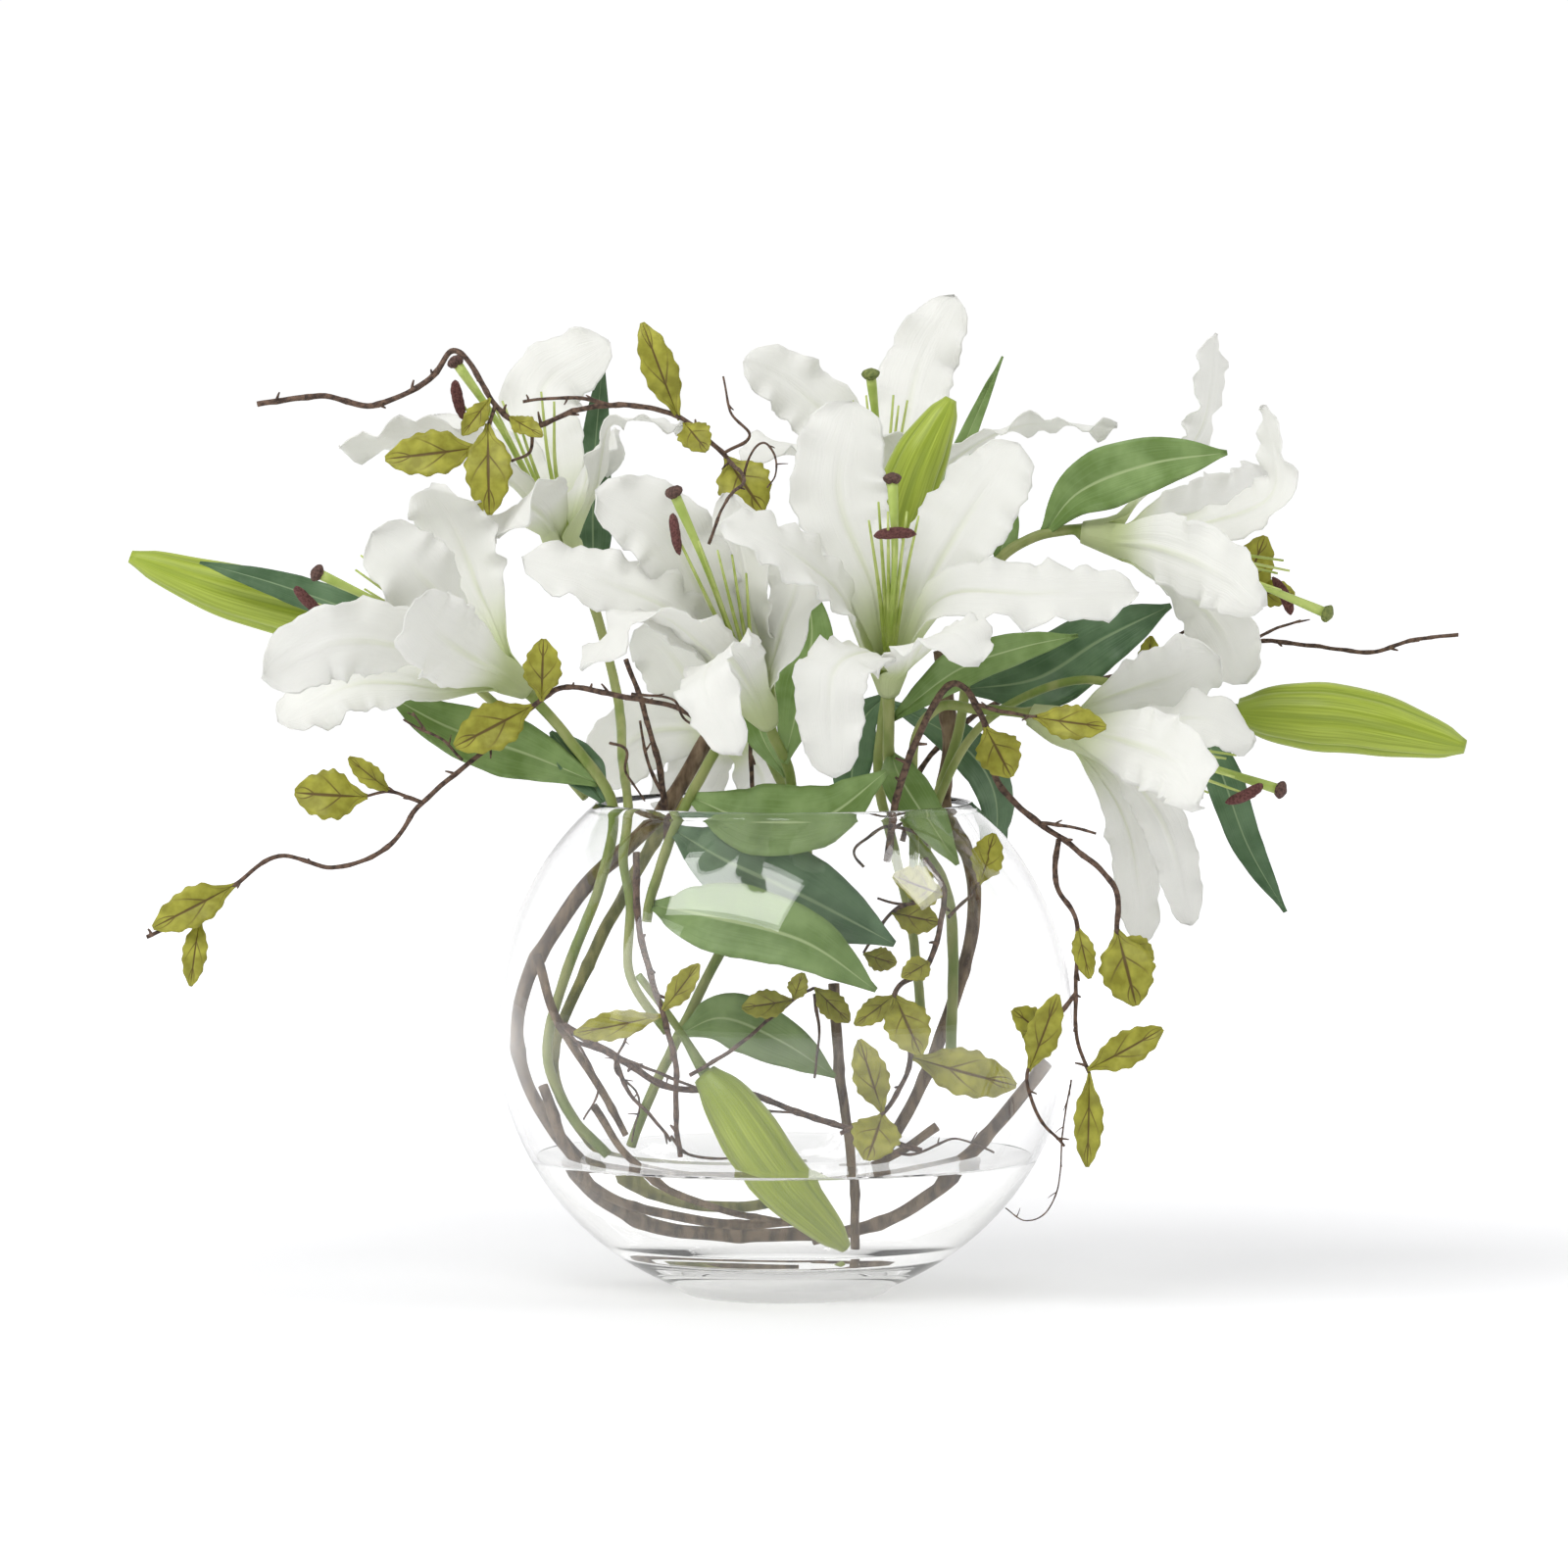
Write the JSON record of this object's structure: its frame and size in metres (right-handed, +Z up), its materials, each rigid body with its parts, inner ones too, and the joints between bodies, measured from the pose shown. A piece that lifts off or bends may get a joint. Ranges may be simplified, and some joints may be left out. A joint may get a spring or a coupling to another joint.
{
  "type": "flowers in a vase",
  "caption": "White lily blooms and green buds on leafy stems with curly dark twigs, standing in a round clear glass bowl with a little water.",
  "frame": {"origin": "centre of the vase's flat underside, where it rests on a table", "axes": "+Z up, +X to the right and -Y to the front of the arrangement as it is looked at"},
  "size_m": [0.5801, 0.3175, 0.4333],
  "materials": {
    "glass": "polished",
    "water": "clear and smooth",
    "petal": "matt, slightly translucent",
    "pistil": "matt green with brown anthers",
    "stem": "satin",
    "bud": "satin",
    "vine": "rough bark",
    "twig": "rough bark"
  },
  "bodies": {
    "root": {"bud_bowl": "bud", "bud_left": "bud", "bud_right": "bud", "bud_top": "bud", "lily_back_left_petals": "petal", "lily_back_left_pistil": "pistil", "lily_front_left_petals": "petal", "lily_front_left_pistil": "pistil", "lily_front_right_petals": "petal", "lily_front_right_pistil": "pistil", "lily_left_petals": "petal", "lily_left_pistil": "pistil", "lily_low_right_petals": "petal", "lily_low_right_pistil": "pistil", "lily_rear_petals": "petal", "lily_rear_pistil": "pistil", "lily_right_petals": "petal", "lily_right_pistil": "pistil", "lily_top_petals": "petal", "lily_top_pistil": "pistil", "stem_back_left": "stem", "stem_front_left": "stem", "stem_front_right": "stem", "stem_leafy": "stem", "stem_left": "stem", "stem_low_right": "stem", "stem_rear": "stem", "stem_right": "stem", "stem_top": "stem", "twig_bowl_left": "twig", "twig_bowl_low": "twig", "twig_bowl_right": "twig", "twig_drooping": "twig", "twig_far_right": "twig", "twig_left": "twig", "twig_stub": "twig", "twig_top_left": "twig", "vase": "glass", "vine_crossing": "vine", "vine_long": "vine", "vine_right": "vine", "vine_rising": "vine", "vine_second": "vine", "vine_upright": "vine", "water": "water"}
  },
  "joints": []
}
